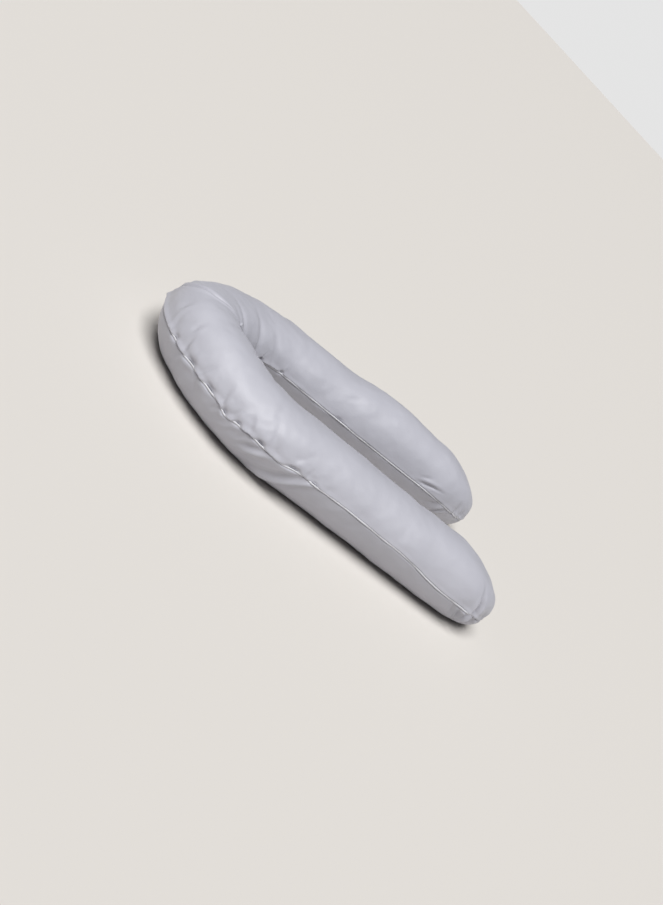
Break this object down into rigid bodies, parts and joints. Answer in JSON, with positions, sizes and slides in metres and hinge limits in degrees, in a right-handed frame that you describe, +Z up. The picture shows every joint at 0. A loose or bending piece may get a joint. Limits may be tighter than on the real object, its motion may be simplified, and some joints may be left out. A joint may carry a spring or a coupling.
{
  "type": "u-shaped pregnancy pillow",
  "caption": "U-shaped full-body pregnancy pillow lying flat: a filled cloth body with a rounded head bend and two long arms, and thin piping in the seam round its sides.",
  "frame": {"origin": "under the middle of the pillow, on the surface that it lies on", "axes": "+X towards the rounded ends of the arms, away from the head bend; +Y towards the far arm; +Z up"},
  "size_m": [1.3468, 0.7622, 0.2334],
  "materials": {
    "cover_cloth": "plain light grey polyester sateen, closely woven, with a soft sheen",
    "piping_cloth": "lighter grey bias-cut piping of the same cloth"
  },
  "bodies": {
    "root": {"pillow_body": "cover_cloth", "seam_piping": "piping_cloth"}
  },
  "joints": []
}
